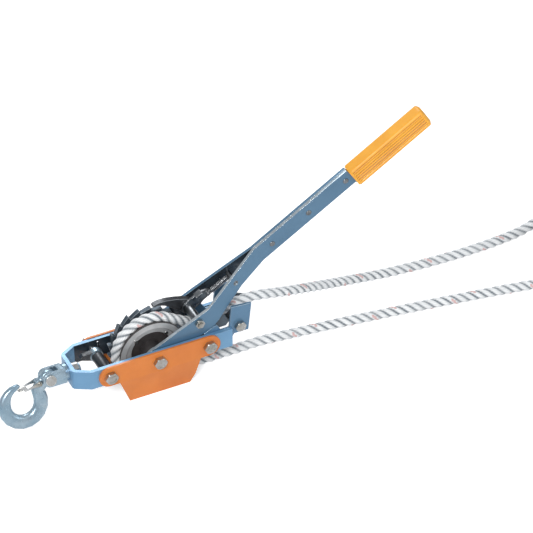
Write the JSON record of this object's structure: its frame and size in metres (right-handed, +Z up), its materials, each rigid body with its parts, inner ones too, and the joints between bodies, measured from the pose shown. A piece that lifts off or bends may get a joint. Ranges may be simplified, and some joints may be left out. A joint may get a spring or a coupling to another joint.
{
  "type": "come along winch",
  "caption": "Hand-lever rope puller: bent-strap frame with a ratcheted sheave, guard plates, a swivelling slip hook and a hanked rope with its own hook.",
  "frame": {"origin": "on the ground plane the object rests on, midway along X and Y of the winch without its loose rope", "axes": "+X from the anchor hook toward the rope, +Y away from the side with the bolt heads, +Z up; the sheave turns about Y"},
  "size_m": [1.023, 0.1314, 0.2777],
  "materials": {
    "frame_blue": "glossy blue zinc-like coat",
    "guard_orange": "satin orange coat",
    "zinc": "zinc plated",
    "dark_steel": "dark hardened steel",
    "sheave_grey": "dark grey cast",
    "grip_amber": "satin moulded",
    "hook_blue": "pale blue plated forging",
    "rope": "three-strand twisted synthetic",
    "tie_black": "matt strap"
  },
  "bodies": {
    "frame": {"frame_strap": "frame_blue", "guard_near": "guard_orange", "guard_far": "guard_orange", "front_bolt": "zinc", "axle_bolt": "zinc", "rear_bolt": "zinc", "guide_bolt": "zinc", "frame_nuts": "zinc", "frame_washers": "zinc", "front_spacer": "dark_steel", "rear_spacer": "zinc", "guide_spacers": "zinc", "axle_bushing": "zinc", "bracket_near": "frame_blue", "bracket_far": "frame_blue", "rope_guide": "frame_blue", "stop_pawl_spring": "zinc", "rope_wrap": "rope", "rope_load_run": "rope", "rope_tail_run": "rope", "tail_hank": "rope", "hank_ties": "tie_black", "load_splice": "rope", "load_thimble": "zinc"},
    "sheave": {"sheave": "sheave_grey", "ratchet_wheel": "dark_steel", "ratchet_rivets": "zinc"},
    "handle": {"handle_near": "frame_blue", "handle_far": "frame_blue", "handle_rivets": "frame_blue", "grip": "grip_amber", "pawl_pivot_bolt": "zinc", "pawl_pivot_nut": "zinc", "pawl_spacers": "zinc", "spring_anchor_pin": "zinc"},
    "drive_pawl": {"drive_pawl": "dark_steel", "pawl_release_tab": "zinc", "drive_pawl_spring": "zinc"},
    "stop_pawl": {"stop_pawl": "dark_steel"},
    "swivel": {"hook_yoke": "hook_blue", "stud_collar": "zinc", "yoke_pin": "zinc"},
    "anchor_hook": {"anchor_hook": "hook_blue", "anchor_latch_pin": "zinc"},
    "anchor_latch": {"anchor_latch": "zinc"},
    "load_hook": {"load_hook": "hook_blue", "load_pin": "zinc", "load_latch_pin": "zinc"},
    "load_latch": {"load_latch": "zinc"}
  },
  "joints": [
    {"name": "handle_swing", "type": "hinge", "parent": "frame", "child": "handle", "pos_m": [-0.0828, -0.0025, 0.0505], "axis": [0, -1, 0], "range_deg": [0, 95]},
    {"name": "sheave_spin", "type": "hinge", "parent": "frame", "child": "sheave", "pos_m": [-0.0828, -0.0025, 0.0505], "axis": [0, 1, 0], "continuous": true},
    {"name": "drive_pawl_lift", "type": "hinge", "parent": "handle", "child": "drive_pawl", "pos_m": [-0.0298, -0.0025, 0.0825], "axis": [0, 1, 0], "range_deg": [-5.5, 22], "stiffness_Nm_per_rad": 1.2, "deforming": ["drive_pawl_spring"]},
    {"name": "stop_pawl_lift", "type": "hinge", "parent": "frame", "child": "stop_pawl", "pos_m": [-0.1428, -0.0025, 0.0505], "axis": [0, 1, 0], "range_deg": [-9.5, 30], "stiffness_Nm_per_rad": 0.8},
    {"name": "hook_swivel", "type": "hinge", "parent": "frame", "child": "swivel", "pos_m": [-0.1838, -0.0025, 0.0505], "axis": [1, 0, 0], "continuous": true},
    {"name": "hook_pivot", "type": "hinge", "parent": "swivel", "child": "anchor_hook", "pos_m": [-0.2068, -0.0025, 0.0505], "axis": [0, 0.9563, -0.2924], "range_deg": [-55, 115]},
    {"name": "anchor_latch_open", "type": "hinge", "parent": "anchor_hook", "child": "anchor_latch", "pos_m": [-0.2188, -0.00309, 0.04859], "axis": [0, -0.9563, 0.2924], "range_deg": [0, 28], "stiffness_Nm_per_rad": 0.03, "springref_deg": -17.19},
    {"name": "load_hook_pivot", "type": "hinge", "parent": "frame", "child": "load_hook", "pos_m": [0.6622, 0.0285, 0.0491], "axis": [0, 0, 1], "range_deg": [-60, 60]},
    {"name": "load_latch_open", "type": "hinge", "parent": "load_hook", "child": "load_latch", "pos_m": [0.7002, 0.0265, 0.0491], "axis": [0, 0, -1], "range_deg": [0, 28], "stiffness_Nm_per_rad": 0.03, "springref_deg": -17.19}
  ]
}
